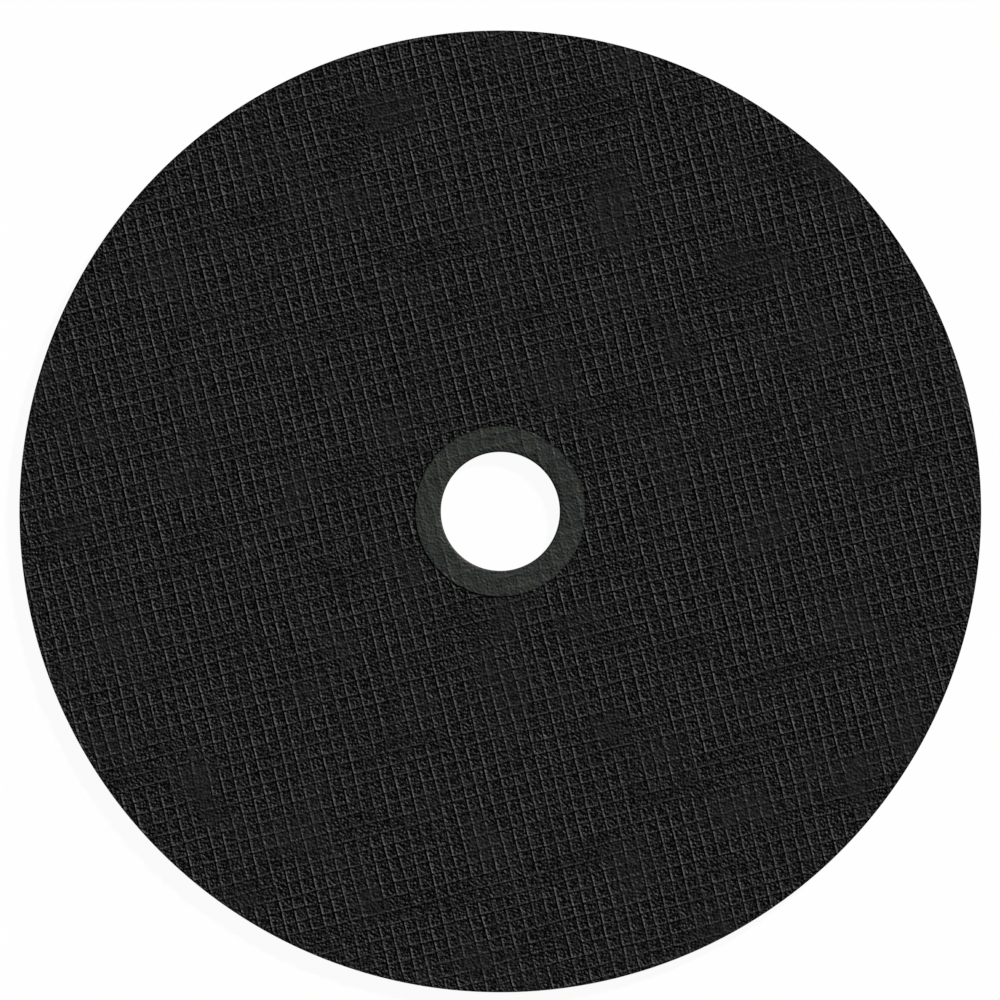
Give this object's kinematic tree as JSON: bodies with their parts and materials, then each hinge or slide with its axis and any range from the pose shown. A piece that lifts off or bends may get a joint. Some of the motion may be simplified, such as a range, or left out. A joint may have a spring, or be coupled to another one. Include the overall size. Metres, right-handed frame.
{
  "type": "cut-off wheel",
  "caption": "Thin flat abrasive cut-off wheel with a glass mesh pressed into both faces and a clinched steel ring lining its round bore.",
  "frame": {"origin": "on the wheel's axis, at the back face on which it lies", "axes": "+Z along the bore axis, out of the front face with the wide ring flange; +X and +Y lie in the face"},
  "size_m": [0.18, 0.18, 0.0016],
  "materials": {
    "abrasive": "black resin-bonded grain with a pressed-in glass mesh, matt",
    "ring_steel": "dark grey-green phosphated sheet steel under a thin film of resin, satin"
  },
  "bodies": {
    "root": {"abrasive_disc": "abrasive", "arbor_ring": "ring_steel"}
  },
  "joints": []
}
